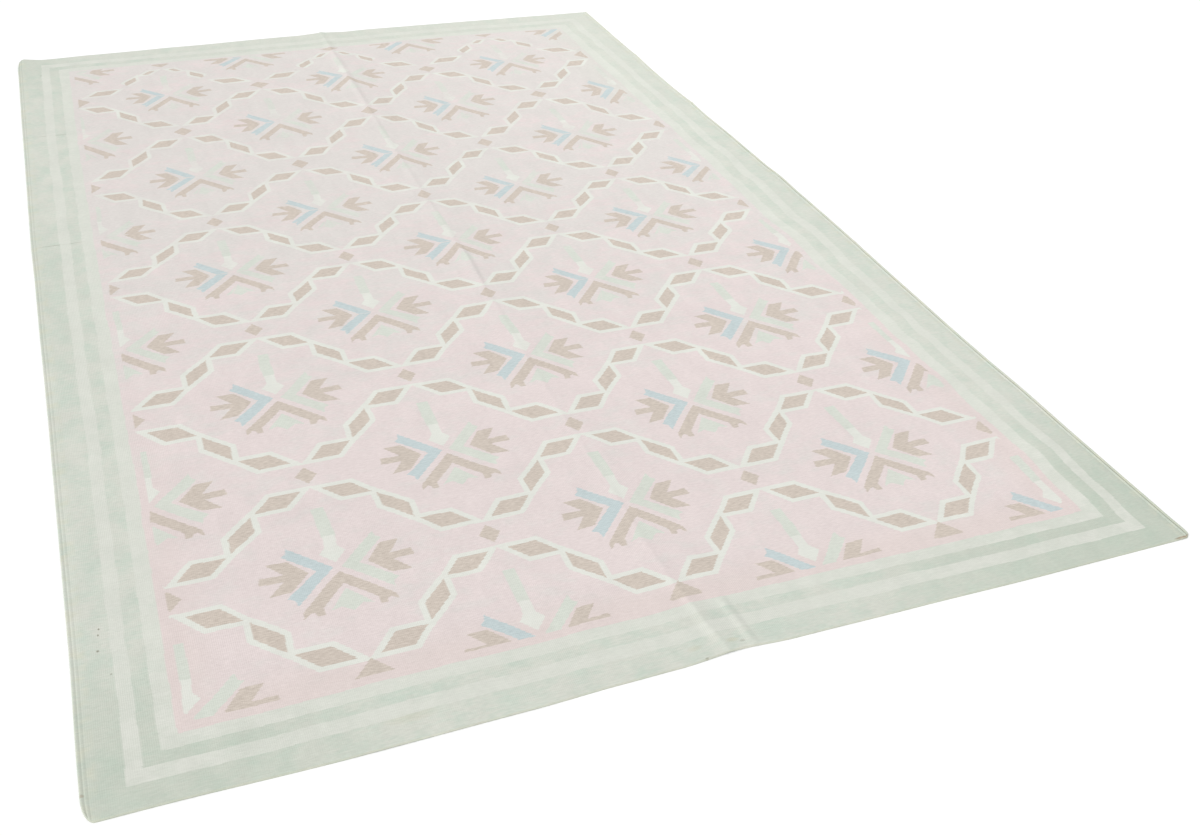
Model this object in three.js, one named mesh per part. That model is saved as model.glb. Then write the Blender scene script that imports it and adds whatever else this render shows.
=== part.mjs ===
// A flat-woven cotton dhurrie rug, laid out on a flat surface.
// Millimetres. +X runs across the width, +Y along the length, +Z up, and the
// origin is under the middle of the rug's bounding box, on the surface.
// The rug is one cloth: its hems and selvedges are woven in, so it is one solid.

import * as THREE from 'three';

// ---------------------------------------------------------------- driving sizes

const WIDTH = 1830;
const LENGTH = 2975;
const CLOTH_THICKNESS = 3;

const SELVEDGE_WIDTH = 12;
const SELVEDGE_THICKNESS = 4.5;
const GROOVE_THICKNESS = 2.2;

const HEM_WIDTH = 9;
const HEM_THICKNESS = 3.4;

const CLOTH_COLOUR = 0xdccfc9;
const CLOTH_ROUGHNESS = 0.95;

const HALF_WIDTH = WIDTH / 2;
const HALF_LENGTH = LENGTH / 2;

// ---------------------------------------------------------------- thickness

// Thickness of the cloth at a distance in from either long side: a corded
// selvedge, then the groove where the plain weave starts.
const SELVEDGE_PROFILE = [
  { inset: 0, thickness: 0.7 * SELVEDGE_THICKNESS },
  { inset: 0.25 * SELVEDGE_WIDTH, thickness: SELVEDGE_THICKNESS },
  { inset: 0.75 * SELVEDGE_WIDTH, thickness: SELVEDGE_THICKNESS },
  { inset: 1.05 * SELVEDGE_WIDTH, thickness: GROOVE_THICKNESS },
  { inset: 1.4 * SELVEDGE_WIDTH, thickness: CLOTH_THICKNESS },
];

// The same at a distance in from either short end, where the last wefts are
// beaten tight over the turned-in warp ends.
const HEM_PROFILE = [
  { inset: 0, thickness: 0.7 * HEM_THICKNESS },
  { inset: 0.5 * HEM_WIDTH, thickness: HEM_THICKNESS },
  { inset: HEM_WIDTH, thickness: HEM_THICKNESS },
  { inset: 1.6 * HEM_WIDTH, thickness: CLOTH_THICKNESS },
];

// ---------------------------------------------------------------- outline

// How far each edge of the hand-woven cloth stands outside (+) or inside (-)
// the plain rectangle, at places along that edge.
const EDGE_WANDER = {
  left: [
    { at: -1400, out: -2 },
    { at: -1150, out: -4 },
    { at: -600, out: -3 },
    { at: 0, out: 0 },
    { at: 250, out: 2 },
    { at: 900, out: 0 },
    { at: 1400, out: -2 },
  ],
  right: [
    { at: -1400, out: 0 },
    { at: -800, out: 0 },
    { at: -450, out: 3 },
    { at: -80, out: 8 },
    { at: 300, out: 5 },
    { at: 700, out: -2 },
    { at: 1400, out: -2 },
  ],
  near: [
    { at: -840, out: -2 },
    { at: -550, out: 3 },
    { at: -300, out: 2 },
    { at: 0, out: -2 },
    { at: 350, out: -2 },
    { at: 600, out: 0 },
    { at: 840, out: -1 },
  ],
  far: [
    { at: -840, out: -12 },
    { at: -700, out: -8 },
    { at: -430, out: -4 },
    { at: -160, out: 1 },
    { at: 100, out: 5 },
    { at: 370, out: 4 },
    { at: 640, out: 0 },
    { at: 840, out: -2 },
  ],
};

// The wander of a long side dies out this far into the cloth, that of an end
// further in, because the wefts bow with it.
const SIDE_WANDER_REACH = 110;
const END_WANDER_REACH = 420;

// Each corner's rounding, and how far its tip curls up off the surface.
const CORNERS = [
  { side: -1, end: -1, radius: 26, curl: 0, curlReach: 60 },
  { side: 1, end: -1, radius: 13, curl: 5, curlReach: 70 },
  { side: -1, end: 1, radius: 18, curl: 7, curlReach: 75 },
  { side: 1, end: 1, radius: 7, curl: 0, curlReach: 60 },
];

// ---------------------------------------------------------------- folds

// The rug was stored folded in half lengthwise, which left one crease down its
// middle. It runs straight and veers to the right at the near end.
const CREASE_PATH = [
  { y: -1490, x: 55 },
  { y: -1430, x: 22 },
  { y: -1330, x: 12 },
  { y: -1100, x: 8 },
  { y: 1490, x: 8 },
];

// The crease stands up more in some stretches than in others.
const CREASE_HEIGHTS = [
  { y: -1490, height: 4.5 },
  { y: -1350, height: 4.5 },
  { y: -900, height: 3 },
  { y: -350, height: 4 },
  { y: 250, height: 3 },
  { y: 900, height: 4.5 },
  { y: 1490, height: 4 },
];
const CREASE_HALF_WIDTH = 24;

// A wide, low rise carries the crease.
const RISE_HEIGHT = 2;
const RISE_HALF_WIDTH = 140;

// The other lifts of the cloth. Each is a rounded ridge over the line from
// (x1, y1) to (x2, y2), and fades past the line's ends over its fade length.
const LIFTS = [
  { name: 'near hem', x1: 75, y1: -1495, x2: 75, y2: -1440, halfWidth: 190, height: 3.5, fade: 170 },
  { name: 'right edge a', x1: 925, y1: 1010, x2: 880, y2: 1005, halfWidth: 95, height: 4, fade: 110 },
  { name: 'right edge b', x1: 925, y1: 600, x2: 880, y2: 590, halfWidth: 110, height: 5, fade: 130 },
  { name: 'right edge c', x1: 925, y1: 60, x2: 900, y2: 50, halfWidth: 90, height: 5, fade: 90 },
  { name: 'right edge d', x1: 925, y1: -330, x2: 905, y2: -330, halfWidth: 210, height: 4, fade: 60 },
  { name: 'right edge e', x1: 925, y1: -1010, x2: 905, y2: -1000, halfWidth: 150, height: 3, fade: 70 },
  { name: 'left cross crease a', x1: -925, y1: 868, x2: -790, y2: 860, halfWidth: 22, height: 2, fade: 40 },
  { name: 'left cross crease b', x1: -925, y1: 196, x2: -800, y2: 202, halfWidth: 22, height: 2, fade: 60 },
];

// ---------------------------------------------------------------- grid lines

// Rows of the mesh lie this close together along the rug, and closer where an
// end's hem, a cross crease or a corner needs them.
const ROW_STEP = 78;
const END_INSETS = [0, 0.5, 1, 1.6, 3.2, 6, 10].map((share) => share * HEM_WIDTH);

// Columns, as distances from each long side and as places around the crease.
const SIDE_INSETS = [...SELVEDGE_PROFILE.map((row) => row.inset), 34, 62, 105, 160];
const CREASE_OFFSETS = [-150, -80, -44, -24, -12, 0, 12, 24, 44, 80, 150];
const FIELD_COLUMNS = 5;

// ---------------------------------------------------------------- shaping functions

/** A soft hump: 1 at the middle, 0 at and past a share of 1 from it. */
function hump(share) {
  if (Math.abs(share) >= 1) return 0;
  return Math.cos((Math.PI / 2) * share) ** 2;
}

/** The value column of a table at a place, eased from row to row. */
function readTable(table, placeColumn, valueColumn, place) {
  const last = table.length - 1;
  if (place <= table[0][placeColumn]) return table[0][valueColumn];
  if (place >= table[last][placeColumn]) return table[last][valueColumn];
  const after = table.findIndex((row) => row[placeColumn] > place);
  const low = table[after - 1];
  const high = table[after];
  const share = (place - low[placeColumn]) / (high[placeColumn] - low[placeColumn]);
  const eased = share * share * (3 - 2 * share);
  return low[valueColumn] + (high[valueColumn] - low[valueColumn]) * eased;
}

/** The cloth's thickness at a place on the flat rectangle. */
function thicknessAt(u, v) {
  const selvedge = readTable(SELVEDGE_PROFILE, 'inset', 'thickness', HALF_WIDTH - Math.abs(u));
  const hem = readTable(HEM_PROFILE, 'inset', 'thickness', HALF_LENGTH - Math.abs(v));
  return selvedge + hem - CLOTH_THICKNESS;
}

/** Rounds the rectangle's corners: each corner's square is mapped to a quarter disc. */
function roundCorner(u, v) {
  for (const { side, end, radius } of CORNERS) {
    const across = (side * u - (HALF_WIDTH - radius)) / radius;
    const along = (end * v - (HALF_LENGTH - radius)) / radius;
    if (across > 0 && along > 0) {
      const roundedAcross = across * Math.sqrt(1 - along ** 2 / 2);
      const roundedAlong = along * Math.sqrt(1 - across ** 2 / 2);
      return {
        x: side * (HALF_WIDTH - radius + radius * roundedAcross),
        y: end * (HALF_LENGTH - radius + radius * roundedAlong),
      };
    }
  }
  return { x: u, y: v };
}

/** Moves a point of the rectangle with the uneven edges. */
function wander({ x, y }) {
  const sideTable = x < 0 ? EDGE_WANDER.left : EDGE_WANDER.right;
  const endTable = y < 0 ? EDGE_WANDER.near : EDGE_WANDER.far;
  const sideShare = (HALF_WIDTH - Math.abs(x)) / SIDE_WANDER_REACH;
  const endShare = (HALF_LENGTH - Math.abs(y)) / END_WANDER_REACH;
  return {
    x: x + Math.sign(x) * readTable(sideTable, 'at', 'out', y) * hump(sideShare),
    y: y + Math.sign(y) * readTable(endTable, 'at', 'out', x) * hump(endShare),
  };
}

/** Height of the underside over the middle crease and the rise that carries it. */
function creaseHeight(x, y) {
  const offset = x - readTable(CREASE_PATH, 'y', 'x', y);
  const crest = readTable(CREASE_HEIGHTS, 'y', 'height', y);
  return crest * hump(offset / CREASE_HALF_WIDTH) + RISE_HEIGHT * hump(offset / RISE_HALF_WIDTH);
}

/** Height of the underside over one lift of the table. */
function liftHeight({ x1, y1, x2, y2, halfWidth, height, fade }, x, y) {
  const length = Math.hypot(x2 - x1, y2 - y1);
  const along = ((x - x1) * (x2 - x1) + (y - y1) * (y2 - y1)) / length;
  const across = ((x - x1) * (y2 - y1) - (y - y1) * (x2 - x1)) / length;
  const pastEnd = Math.max(0, -along, along - length);
  return height * hump(across / halfWidth) * hump(pastEnd / fade);
}

/** Height of the underside at the curled corners. */
function curlHeight(x, y) {
  return CORNERS.reduce((sum, { side, end, curl, curlReach }) => {
    const distance = Math.hypot(x - side * HALF_WIDTH, y - end * HALF_LENGTH);
    return sum + curl * hump(distance / curlReach);
  }, 0);
}

/** Height of the rug's underside above the surface: 0 wherever it lies flat. */
function undersideHeight(x, y) {
  const lifts = LIFTS.reduce((sum, lift) => sum + liftHeight(lift, x, y), 0);
  return creaseHeight(x, y) + lifts + curlHeight(x, y);
}

/** Where a point of the flat rectangle lies: its place, underside and top. */
function clothPoint(u, v) {
  const { x, y } = wander(roundCorner(u, v));
  const bottom = undersideHeight(x, y);
  return { x, y, bottom, top: bottom + thicknessAt(u, v) };
}

// ---------------------------------------------------------------- grid

/** Numbers spread evenly between two ends, both left out. */
function between(low, high, count) {
  return Array.from({ length: count }, (_, i) => low + ((high - low) * (i + 1)) / (count + 1));
}

/** Places of the mesh's columns across the width, left to right. */
function columnPlaces() {
  const crease = CREASE_OFFSETS.map((offset) => offset + CREASE_PATH.at(-1).x);
  const inner = HALF_WIDTH - SIDE_INSETS.at(-1);
  return [
    ...SIDE_INSETS.map((inset) => inset - HALF_WIDTH),
    ...between(-inner, crease[0], FIELD_COLUMNS),
    ...crease,
    ...between(crease.at(-1), inner, FIELD_COLUMNS),
    ...SIDE_INSETS.map((inset) => HALF_WIDTH - inset).reverse(),
  ];
}

/** Places of the mesh's rows along the length, near to far. */
function rowPlaces() {
  const inner = HALF_LENGTH - END_INSETS.at(-1);
  const count = Math.round((2 * inner) / ROW_STEP) - 1;
  const crossCreases = LIFTS.filter((lift) => lift.halfWidth < ROW_STEP / 2);
  const closeRows = crossCreases.flatMap(({ y1, halfWidth }) => [y1 - halfWidth, y1, y1 + halfWidth]);
  const rows = between(-inner, inner, count).filter((row) =>
    closeRows.every((close) => Math.abs(close - row) > ROW_STEP / 4),
  );
  return [
    ...END_INSETS.map((inset) => inset - HALF_LENGTH),
    ...[...rows, ...closeRows].sort((a, b) => a - b),
    ...END_INSETS.map((inset) => HALF_LENGTH - inset).reverse(),
  ];
}

/** One closed sheet over a grid of places: a top, an underside and a rim between them. */
function closedSheet(columns, rows, pointAt) {
  const positions = [];
  const indices = [];
  const layerSize = columns.length * rows.length;
  const points = rows.flatMap((v) => columns.map((u) => pointAt(u, v)));
  points.forEach(({ x, y, top }) => positions.push(x, y, top));
  points.forEach(({ x, y, bottom }) => positions.push(x, y, bottom));

  const topIndex = (column, row) => row * columns.length + column;
  const quad = (a, b, c, d) => indices.push(a, b, c, a, c, d);
  const rim = (a, b) => quad(a, a + layerSize, b + layerSize, b);

  const lastColumn = columns.length - 1;
  const lastRow = rows.length - 1;
  for (let row = 0; row < lastRow; row += 1) {
    for (let column = 0; column < lastColumn; column += 1) {
      const corners = [
        topIndex(column, row),
        topIndex(column + 1, row),
        topIndex(column + 1, row + 1),
        topIndex(column, row + 1),
      ];
      quad(...corners);
      quad(...corners.map((corner) => corner + layerSize).reverse());
    }
  }
  for (let column = 0; column < lastColumn; column += 1) {
    rim(topIndex(column, 0), topIndex(column + 1, 0));
    rim(topIndex(column + 1, lastRow), topIndex(column, lastRow));
  }
  for (let row = 0; row < lastRow; row += 1) {
    rim(topIndex(0, row + 1), topIndex(0, row));
    rim(topIndex(lastColumn, row), topIndex(lastColumn, row + 1));
  }

  const geometry = new THREE.BufferGeometry();
  geometry.setAttribute('position', new THREE.Float32BufferAttribute(positions, 3));
  geometry.setIndex(indices);
  geometry.computeVertexNormals();
  return geometry;
}

/** Puts the middle of a geometry's bounding box over the origin, and leaves its height. */
function centreOverOrigin(geometry) {
  geometry.computeBoundingBox();
  const middle = geometry.boundingBox.getCenter(new THREE.Vector3());
  geometry.translate(-middle.x, -middle.y, 0);
}

// ---------------------------------------------------------------- the rug

function buildRug() {
  const geometry = closedSheet(columnPlaces(), rowPlaces(), clothPoint);
  centreOverOrigin(geometry);
  const material = new THREE.MeshStandardMaterial({
    color: CLOTH_COLOUR,
    roughness: CLOTH_ROUGHNESS,
    metalness: 0,
  });
  const mesh = new THREE.Mesh(geometry, material);
  mesh.name = 'rug';
  return mesh;
}

const group = new THREE.Group();
group.add(buildRug());

export default group;
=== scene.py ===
"""A flat-woven cotton dhurrie rug, laid out on a plain pale floor.

Metres, with +X across the width, +Y along the length and +Z up. The pattern is charted in
millimetres of flat cloth, because that is how the shader's nodes read it.
"""

import math
from collections import namedtuple

import bpy
import numpy as np
from mathutils import Matrix, Vector


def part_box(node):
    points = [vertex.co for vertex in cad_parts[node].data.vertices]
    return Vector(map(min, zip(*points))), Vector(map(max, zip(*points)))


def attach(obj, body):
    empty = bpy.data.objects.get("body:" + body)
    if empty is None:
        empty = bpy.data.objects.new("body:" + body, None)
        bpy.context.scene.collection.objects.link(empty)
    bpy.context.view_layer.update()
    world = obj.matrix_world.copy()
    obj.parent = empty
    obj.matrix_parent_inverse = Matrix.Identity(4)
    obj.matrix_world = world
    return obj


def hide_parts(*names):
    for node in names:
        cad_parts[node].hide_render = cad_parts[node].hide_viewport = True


def table(columns, *rows):
    """A short table as a list of rows, under the names of its columns."""
    names = columns.split()
    return [dict(zip(names, row, strict=True)) for row in rows]


def by_name(rows):
    """A table's rows by their names."""
    return {row["name"]: row for row in rows}


# ------------------------------------------------------------------ driving sizes

WIDTH = 1.830
LENGTH = 2.975
CLOTH_THICKNESS = 0.003

SELVEDGE_WIDTH = 0.0115
OUTER_CORD_THICKNESS = 0.0045
INNER_CORD_THICKNESS = 0.0038
GROOVE_THICKNESS = 0.0022

HEM_WIDTH = 0.009
HEM_THICKNESS = 0.0032

HALF_WIDTH = WIDTH / 2
HALF_LENGTH = LENGTH / 2

MILLIMETRES = 1000  # in a metre

# Thickness of the cloth at a distance in from a long side: the selvedge's two corded warps,
# each with a groove inside it, then the plain weave. The left cords are pulled flatter, and
# keep only a share of their relief.
SELVEDGE_PROFILE = table(
    "inset thickness",
    (0.0, 0.45 * OUTER_CORD_THICKNESS),
    (0.10 * SELVEDGE_WIDTH, 0.85 * OUTER_CORD_THICKNESS),
    (0.24 * SELVEDGE_WIDTH, OUTER_CORD_THICKNESS),
    (0.48 * SELVEDGE_WIDTH, GROOVE_THICKNESS),
    (0.74 * SELVEDGE_WIDTH, INNER_CORD_THICKNESS),
    (SELVEDGE_WIDTH, GROOVE_THICKNESS),
    (1.3 * SELVEDGE_WIDTH, CLOTH_THICKNESS),
)
LEFT_CORD_RELIEF = 0.45

# The same at a distance in from a short end.
HEM_PROFILE = table(
    "inset thickness",
    (0.0, 0.45 * HEM_THICKNESS),
    (0.16 * HEM_WIDTH, 0.85 * HEM_THICKNESS),
    (0.5 * HEM_WIDTH, HEM_THICKNESS),
    (HEM_WIDTH, HEM_THICKNESS),
    (1.6 * HEM_WIDTH, CLOTH_THICKNESS),
)

# ------------------------------------------------------------------ outline

# How far each edge stands outside (+) or inside (-) the plain rectangle.
EDGE_WANDER = {
    "left": table(
        "at out",
        (-1.400, -0.002),
        (-1.150, -0.004),
        (-0.600, -0.003),
        (0.000, 0.000),
        (0.250, 0.002),
        (0.900, 0.000),
        (1.400, -0.002),
    ),
    "right": table(
        "at out",
        (-1.400, 0.000),
        (-0.800, 0.000),
        (-0.450, 0.005),
        (-0.080, 0.011),
        (0.300, 0.008),
        (0.650, 0.001),
        (0.800, -0.001),
        (1.200, 0.000),
        (1.400, 0.001),
    ),
    "near": table(
        "at out",
        (-0.840, -0.002),
        (-0.550, 0.003),
        (-0.300, 0.001),
        (-0.150, -0.003),
        (-0.060, -0.004),
        (0.050, -0.011),
        (0.140, -0.006),
        (0.350, -0.004),
        (0.600, -0.001),
        (0.840, -0.001),
    ),
    "far": table(
        "at out",
        (-0.840, -0.015),
        (-0.700, -0.009),
        (-0.430, -0.002),
        (-0.150, 0.006),
        (0.060, 0.007),
        (0.160, 0.012),
        (0.450, 0.008),
        (0.640, 0.004),
        (0.840, 0.000),
    ),
}
SIDE_WANDER_REACH = 0.110
END_WANDER_REACH = 0.420

# Each corner, from -1 at the left or near side to 1 at the right or far one: its rounding across
# and along the rug, and how high its tip curls up off the floor and how far in that reaches.
CORNERS = table(
    "side end across along curl reach",
    (-1, -1, 0.017, 0.046, 0.000, 0.060),
    (1, -1, 0.012, 0.022, 0.001, 0.070),
    (-1, 1, 0.022, 0.080, 0.008, 0.080),
    (1, 1, 0.007, 0.007, 0.000, 0.060),
)

# ------------------------------------------------------------------ folds

# The crease that storing the rug folded lengthwise left down its middle: a sharp crest, which
# falls away to its left and its right, on a broad rise.
MIDDLE_CREASE = table(
    "y x crest left right rise",
    (-1.490, 0.030, 0.0006, 0.016, 0.034, 0.0000),
    (-1.460, 0.024, 0.0031, 0.016, 0.036, 0.0008),
    (-1.400, 0.016, 0.0036, 0.017, 0.040, 0.0014),
    (-1.345, 0.012, 0.0028, 0.016, 0.030, 0.0018),
    (-1.290, 0.006, 0.0010, 0.014, 0.014, 0.0020),
    (-0.750, 0.002, 0.0008, 0.014, 0.010, 0.0018),
    (-0.290, 0.008, 0.0010, 0.020, 0.010, 0.0020),
    (-0.240, 0.009, 0.0034, 0.030, 0.011, 0.0018),
    (-0.110, 0.012, 0.0040, 0.030, 0.014, 0.0018),
    (-0.050, 0.008, 0.0012, 0.020, 0.010, 0.0020),
    (0.600, 0.002, 0.0014, 0.018, 0.012, 0.0024),
    (0.780, 0.002, 0.0020, 0.018, 0.010, 0.0024),
    (0.860, 0.002, 0.0034, 0.020, 0.016, 0.0024),
    (1.300, 0.002, 0.0034, 0.020, 0.018, 0.0028),
    (1.490, 0.002, 0.0026, 0.018, 0.018, 0.0032),
)
CREST_SHARPNESS = 1.5
RISE_HALF_WIDTH = 0.090

# Rounded ridges over the line from (x1, y1) to (x2, y2), fading past its ends.
LIFTS = table(
    "name x1 y1 x2 y2 half_width height fade",
    ("second crease", 0.070, -1.460, 0.066, -1.375, 0.013, 0.0022, 0.022),
    ("right edge a", 0.925, 1.010, 0.860, 1.005, 0.095, 0.0020, 0.110),
    ("right edge b", 0.925, 0.600, 0.860, 0.590, 0.110, 0.0024, 0.130),
    ("right edge c", 0.925, 0.060, 0.870, 0.050, 0.090, 0.0026, 0.090),
    ("right edge d", 0.925, -0.330, 0.870, -0.330, 0.210, 0.0020, 0.090),
    ("right edge e", 0.925, -1.010, 0.870, -1.000, 0.150, 0.0016, 0.090),
    ("left cross crease a", -0.925, 0.868, -0.790, 0.860, 0.013, 0.0016, 0.040),
    ("left cross crease b", -0.925, 0.196, -0.800, 0.202, 0.013, 0.0016, 0.060),
    ("right cross crease a", 0.925, 1.026, 0.800, 1.058, 0.012, 0.0018, 0.030),
    ("right cross crease b", 0.925, 0.600, 0.820, 0.629, 0.012, 0.0018, 0.030),
)

# Small waves across the right border, strongest between its stripes and none at the selvedge.
RIPPLE = {
    "cell": 0.052, "stretch": 3, "height": 0.0042, "sway": 0.006, "inset": 0.080,
    "reach": 0.080, "end_fade": 0.150, "seed": 14,
}

# The loose unevenness of a hand-woven cloth that lies on a floor: noises from 0 to 1, of which
# only what stands above a share lifts the cloth.
UNEVENNESS = table(
    "cell height seed",
    (0.160, 0.0012, 11),
    (0.055, 0.0006, 12),
)
LYING_SHARE = 0.4

# Cells along each side of a noise's grid of random numbers, and the one under the rug's middle.
NOISE_CELLS = 512
NOISE_ORIGIN = 200

# ------------------------------------------------------------------ mesh grid

# Distances between the mesh's columns and rows, finer over the creases, and the places of the
# first ones in from each edge.
FIELD_STEP = 0.0155
ROW_STEP = 0.0125
CREASE_STEP = 0.0028
CREASE_COLUMNS = (-0.016, 0.108)
CRUMPLE_STEP = 0.006
CRUMPLE_ROWS = (-1.467, -1.350)
SIDE_INSETS = [
    0, 0.0005, 0.0013, 0.0026, 0.0040, 0.0050, 0.0056, 0.0063,
    0.0073, 0.0086, 0.0100, 0.0110, 0.0116, 0.0127, 0.0150, 0.022,
]
END_INSETS = [0, 0.0006, 0.0018, 0.0045, 0.009, 0.0118, 0.0144, 0.020]
EDGE_ROUNDING = 0.0006

# ------------------------------------------------------------------ pattern, in millimetres

# Places of the pattern's columns and rows on the flat cloth. Flowers stand where column and
# row number add up to an even number, and the lattice crosses where they add up to an odd one.
COLUMN_PLACES = [-764, -502, -246, 8, 251, 507, 760]
ROW_PLACES = [-1353, -1096, -839, -574, -308, -43, 218, 494, 795, 1088, 1339]
COLUMN_PITCH = 255
ROW_PITCH = 266

# How far the lattice lies towards the far end of the flowers' rows.
LATTICE_OFFSET = 6

# How far the weaving drifted from that chart: sideways all over, and towards the far end at the
# left and at the right. Each is a distance for the row times a share for the column.
ROW_DRIFTS = table(
    "row sideways left right",
    (0, 13, 0, 0),
    (4, 0, 0, -6),
    (6, -6, -6, -19),
    (8, -11, -5, -12),
    (10, -17, -16, -2),
)
COLUMN_SHARES = table(
    "column sideways left right",
    (0, 0.33, 1.0, 0.0),
    (1.5, 1.00, 0.15, 0.0),
    (3, 0.65, 0.0, 0.0),
    (4.5, 0.25, 0.0, 0.1),
    (6, 0.00, 0.0, 1.0),
)

# Motifs that the weaver set off that chart, in millimetres to the right and towards the far end.
MOTIF_DRIFTS = table(
    "column row sideways upwards",
    (0, 2, 0, -4),
    (4, 2, 1, 4),
    (6, 2, 2, 4),
    (6, 0, -7, -1),
    (3, 1, 1, 4),
    (5, 5, -4, -4),
    (6, 6, 1, -5),
    (6, 8, -9, -1),
    (1, 9, -5, -5),
    (3, 9, 0, 4),
    (2, 10, -2, -7),
    (4, 10, -1, -6),
    (6, 10, 9, -3),
)

# From one warp to the next, and from one weft to the next.
WARP_PITCH = 3.0
WEFT_PITCH = 1.25

# The border's nested frames: where each starts, from the middle of the rug to its long sides,
# near end and far end, and its yarn. The pink one goes round the field, which fills FIELD_FRAME.
FRAMES = table(
    "side near far yarn",
    (856, 1439, 1434, "ivory"),
    (833, 1412.6, 1407, "sage"),
    (807, 1389, 1382, "ivory"),
    (781, 1364, 1356, "pink"),
)
FIELD_FRAME = {"side": 767, "near": 1347.6, "far": 1347}

# How far those frames wander outwards along each side, in metres.
FRAME_WANDER = {
    "left": table(
        "at out",
        (-1.300, -0.003),
        (-0.600, -0.004),
        (-0.350, -0.001),
        (0.000, 0.000),
        (0.800, 0.000),
        (1.300, -0.006),
    ),
    "right": table(
        "at out",
        (-1.300, -0.006),
        (-1.170, -0.001),
        (-1.040, -0.004),
        (-0.910, 0.002),
        (-0.780, -0.003),
        (-0.520, 0.000),
        (-0.390, -0.003),
        (-0.260, 0.001),
        (-0.130, -0.006),
        (0.000, -0.002),
        (0.520, -0.001),
        (0.650, -0.006),
        (0.900, -0.007),
        (1.040, -0.010),
    ),
    "near": table(
        "at out",
        (-0.800, 0.005),
        (-0.450, -0.002),
        (-0.100, 0.001),
        (0.050, 0.005),
        (0.150, 0.001),
        (0.550, 0.002),
        (0.800, 0.004),
    ),
    "far": table(
        "at out",
        (-0.800, 0.001),
        (-0.500, -0.003),
        (-0.150, -0.005),
        (0.000, -0.009),
        (0.150, -0.006),
        (0.370, 0.000),
        (0.800, -0.007),
    ),
}

# The two lozenges of one quarter of the lattice, from the flower's centre. Two sides of each are
# cut straight, level or upright, and the other two slant across it.
LEVEL_LOZENGE = {"across": 58, "along": 203, "to_slant": 26, "to_cut": 19}
UPRIGHT_LOZENGE = {
    "across": COLUMN_PITCH / 2, "along": ROW_PITCH / 2, "to_slant": 20.5, "to_cut": 21.5,
}
LEVEL_LEAN = -0.77
UPRIGHT_LEAN = -1.09

# The last row's lozenges: a short one next to its far crossing, one upright one that stands
# nearer to that crossing, and a long one next to its near crossing.
SHORT_LOZENGE = {"across": 38, "along": 203, "to_slant": 11, "to_cut": 14}
LAST_UPRIGHT_LOZENGE = {"across": 96, "along": 141, "to_slant": 18, "to_cut": 19}
LONG_LOZENGE = {"across": 76, "along": 203, "to_slant": 31, "to_cut": 19}
LAST_LOZENGES_FROM_ROW = 9

# The lower half of the last row has no upright lozenge: one of less than no size isn't drawn.
NO_LOZENGE = {
    "across": COLUMN_PITCH / 2, "along": ROW_PITCH / 2, "to_slant": -60, "to_cut": -60,
}

# How wide a lozenge's ivory edge is, how wide it looks where it is worn, and how far the worn
# motifs draw in.
OUTLINE = 10.5
WORN_OUTLINE = 8.2
WORN_INSET = 1.5

# The diamonds on the lattice's crossings. They are large along the near end and, in the middle
# and outermost columns, along the far end, and the far rows' are broader than the rest.
CROSSING = {"half_width": 19, "half_height": 25}
LARGE_CROSSING = {"half_width": 30, "half_height": 38}
LARGE_BEFORE_ROW = 0.5
LARGE_FROM_ROW = 8.5
MIDDLE_COLUMN = 3
BROADER_BY = 8

# Convex pieces of the right half of a flower, as corners in order from where its petals cross:
# the distance sideways, then the distance towards the far end. The left half mirrors it.
FLOWER = table(
    "name yarn corners",
    ("stem", "pale green", [(0, 87), (11, 87), (11, 171), (0, 171)]),
    ("bud stalk", "white", [(0, 50), (10, 50), (10, 90), (0, 90)]),
    ("bud", "white", [(0, 17), (21, 44), (10, 60), (0, 60)]),
    ("upper arm", "arm", [(6, 4.5), (33.5, 4.5), (73, 64), (70, 79)]),
    ("upper fork", "arm", [(6, 4.5), (33.5, 4.5), (81, 58), (73, 64)]),
    ("lower arm", "arm", [(6, 4.5), (33.5, 4.5), (77, -56), (75, -72)]),
    ("lower fork", "arm", [(6, 4.5), (33.5, 4.5), (87, -50), (77, -56)]),
    ("tulip", "beige", [(46, 4), (74, 44), (107, 45), (78, 4)]),
    ("tulip under", "beige", [(46, 4), (79, 4), (110, -38), (77, -35)]),
    ("tulip tip", "beige", [(46, 4), (84, 12), (120, 14), (123, -4), (84, -5)]),
    ("foot", "beige", [(0, -7), (0, -39), (42, -88), (58, -95), (71, -88)]),
    ("outer toe", "beige", [(55, -88), (71, -87), (73, -105)]),
    ("inner toe", "beige", [(42, -85), (57, -91), (53, -105), (42, -105)]),
    ("tuft", "pale green", [(0, -52), (16, -93), (0, -108)]),
    ("tuft side", "pale green", [(0, -52), (33, -99), (16, -93)]),
)

# Colours of the yarns, as red, green and blue out of 255, and how much lighter and darker the
# uneven dye makes each.
YARNS = by_name(table(
    "name colour heather",
    ("pink", (220, 208, 206), 4),
    ("faded pink", (214, 209, 205), 4),
    ("rose", (217, 204, 200), 3),
    ("sage", (207, 209, 199), 3.5),
    ("mint", (195, 205, 193), 3.5),
    # The next yarn is partly deeper dye and partly painted shade that darkens the rug's corners.
    ("deep mint", (178, 189, 174), 3),
    ("ivory", (212, 214, 205), 2.5),
    ("white", (219, 221, 213), 2),
    ("cream", (205, 206, 188), 3),
    ("beige", (200, 189, 178), 9),
    ("blue", (190, 202, 203), 6),
    ("pale green", (207, 212, 202), 4),
    ("stain", (196, 193, 168), 6),
    # The next yarn is partly real dirt and partly painted shade: it darkens the groove by the
    # selvedge and marks the left cross creases.
    ("dirt", (129, 126, 108), 6),
    ("rust", (150, 122, 98), 6),
))
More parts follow.
